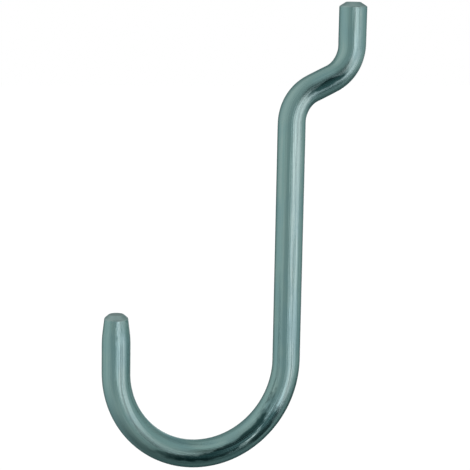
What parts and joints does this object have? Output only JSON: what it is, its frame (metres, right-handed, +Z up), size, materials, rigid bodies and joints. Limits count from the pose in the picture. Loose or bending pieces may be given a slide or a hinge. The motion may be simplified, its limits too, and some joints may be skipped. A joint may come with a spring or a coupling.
{
  "type": "pegboard hook",
  "caption": "Round steel wire bent flat: an offset prong that hooks through a pegboard hole, a straight shank and an open J that holds tools. Both cut ends are chamfered, and the tip tapers a little.",
  "frame": {"origin": "on the prong's axis, where the straight prong meets its bend", "axes": "+Z up along the prong, +Y towards the board, -Y towards the user; the wire lies in the X = 0 plane"},
  "size_m": [0.0058, 0.0555, 0.0946],
  "materials": {
    "zinc_plated_wire": "satin zinc plate with a grey-green passivate, drawn lines along the wire"
  },
  "bodies": {
    "root": {"wire_hook": "zinc_plated_wire"}
  },
  "joints": []
}
